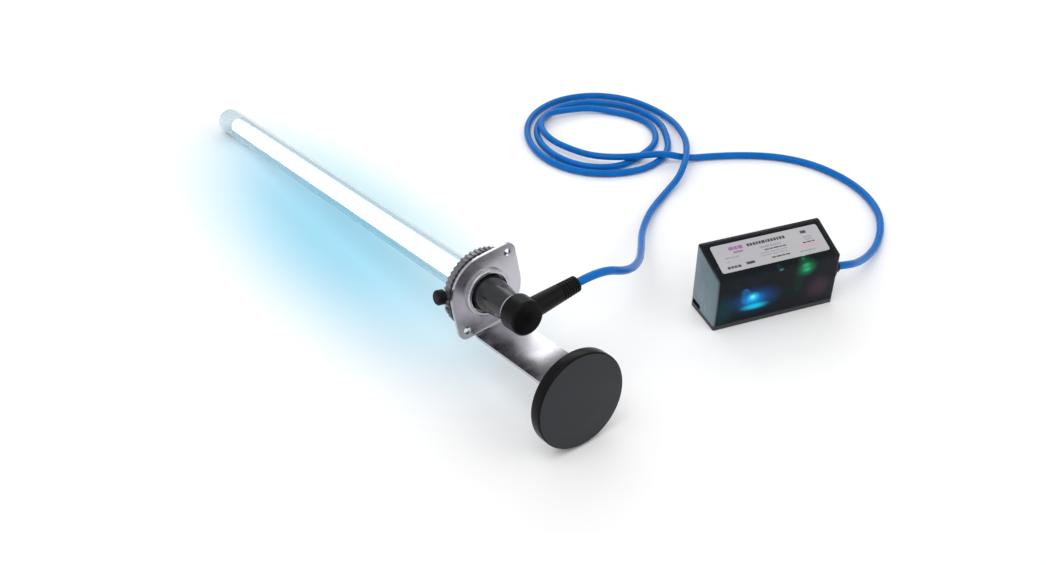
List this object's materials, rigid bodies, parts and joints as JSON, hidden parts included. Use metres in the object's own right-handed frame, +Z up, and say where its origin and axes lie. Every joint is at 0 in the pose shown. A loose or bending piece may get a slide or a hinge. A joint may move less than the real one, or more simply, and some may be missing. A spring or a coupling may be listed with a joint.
{
  "type": "magnet-mounted ultraviolet lamp kit",
  "caption": "Germicidal quartz lamp on a magnet bracket, with a side-entry connector, a coiled lead and a wedge-shaped remote power supply.",
  "frame": {"origin": "centre of the power supply's underside, on the surface that everything stands or lies on", "axes": "+X along the power supply's front edge, +Y to its back, +Z up"},
  "size_m": [0.423, 0.4298, 0.0781],
  "materials": {
    "stainless": "mirror polished stainless sheet",
    "collar_steel": "turned stainless steel",
    "zinc_steel": "zinc plated screws and washers",
    "quartz": "clear fused quartz",
    "lamp_glass": "clear lamp glass with a lit discharge",
    "lamp_ceramic": "glazed white ceramic",
    "tungsten": "drawn tungsten and nickel wire",
    "brass_contacts": "bright brass",
    "black_anodised": "black anodised, serrated",
    "black_moulding": "satin black moulding",
    "black_rubber": "matte black moulded rubber",
    "magnet_metal": "nickel plated",
    "lead_jacket": "satin blue jacket",
    "grey_band": "light grey moulding",
    "smoked_cover": "smoked clear plastic",
    "case_base": "dark moulded plastic",
    "label_sheet": "silver laminated sheet",
    "board_green": "solder mask on glass fibre",
    "ferrite": "grey ferrite",
    "winding_copper": "enamelled copper wire",
    "capacitor_sleeve": "shrink sleeve",
    "film_yellow": "moulded yellow case",
    "fuse_glass": "clear glass",
    "sink_aluminium": "plain aluminium",
    "terminal_green": "green moulding",
    "led_blue": "lit blue lens",
    "led_green": "lit green lens",
    "light_guide": "clear acrylic rod"
  },
  "bodies": {
    "root": {"socket_shell": "black_moulding", "contact_block": "lamp_ceramic", "socket_contacts": "brass_contacts", "connector_band": "grey_band", "connector_head": "black_moulding", "strain_relief": "black_rubber", "lamp_lead": "lead_jacket", "lead_coil": "lead_jacket", "supply_lead": "lead_jacket", "supply_cover": "smoked_cover", "supply_base": "case_base", "label_plate": "label_sheet", "cord_gland": "black_moulding", "gland_nut": "black_moulding", "inlet_grommet": "black_rubber", "circuit_board": "board_green", "board_screws": "zinc_steel", "ballast_core": "ferrite", "ballast_winding": "winding_copper", "electrolytic_capacitors": "capacitor_sleeve", "film_capacitor": "film_yellow", "fuse": "fuse_glass", "heat_sink": "sink_aluminium", "power_transistors": "black_moulding", "terminal_block": "terminal_green", "blue_led": "led_blue", "green_led": "led_green", "green_light_pipe": "light_guide"},
    "lamp_unit": {"mounting_bracket": "stainless", "lamp_collar": "collar_steel", "ring_gasket": "black_rubber", "lamp_base": "black_moulding", "contact_pins": "brass_contacts", "quartz_sleeve": "quartz", "lamp_tube": "lamp_glass", "ceramic_cap": "lamp_ceramic", "tip_spacer": "quartz", "wire_insulator": "lamp_ceramic", "return_wire": "tungsten", "electrode_base_end": "tungsten", "electrode_tip_end": "tungsten", "magnet_cover": "black_rubber", "magnet_plate": "magnet_metal", "magnet_slugs": "magnet_metal", "magnet_bush": "zinc_steel", "screw_washer": "zinc_steel", "magnet_screw": "zinc_steel"},
    "lock_ring": {"lock_ring": "black_anodised", "grub_screw": "black_anodised"},
    "clamp_knob": {"clamp_knob": "black_moulding", "clamp_screw": "zinc_steel"}
  },
  "joints": [
    {"name": "lamp_unplug", "type": "slide", "parent": "root", "child": "lamp_unit", "axis": [-0.2784, 0.9521, -0.1262], "range_m": [0, 0.012]},
    {"name": "lock_ring_turn", "type": "hinge", "parent": "lamp_unit", "child": "lock_ring", "pos_m": [-0.18142, 0.00826, 0.05328], "axis": [0.2784, -0.9521, 0.1262], "range_deg": [-80, 25]},
    {"name": "clamp_knob_turn", "type": "hinge", "parent": "lock_ring", "child": "clamp_knob", "pos_m": [-0.20538, 0.00192, 0.05837], "axis": [-0.947, -0.2503, 0.2012], "continuous": true}
  ]
}
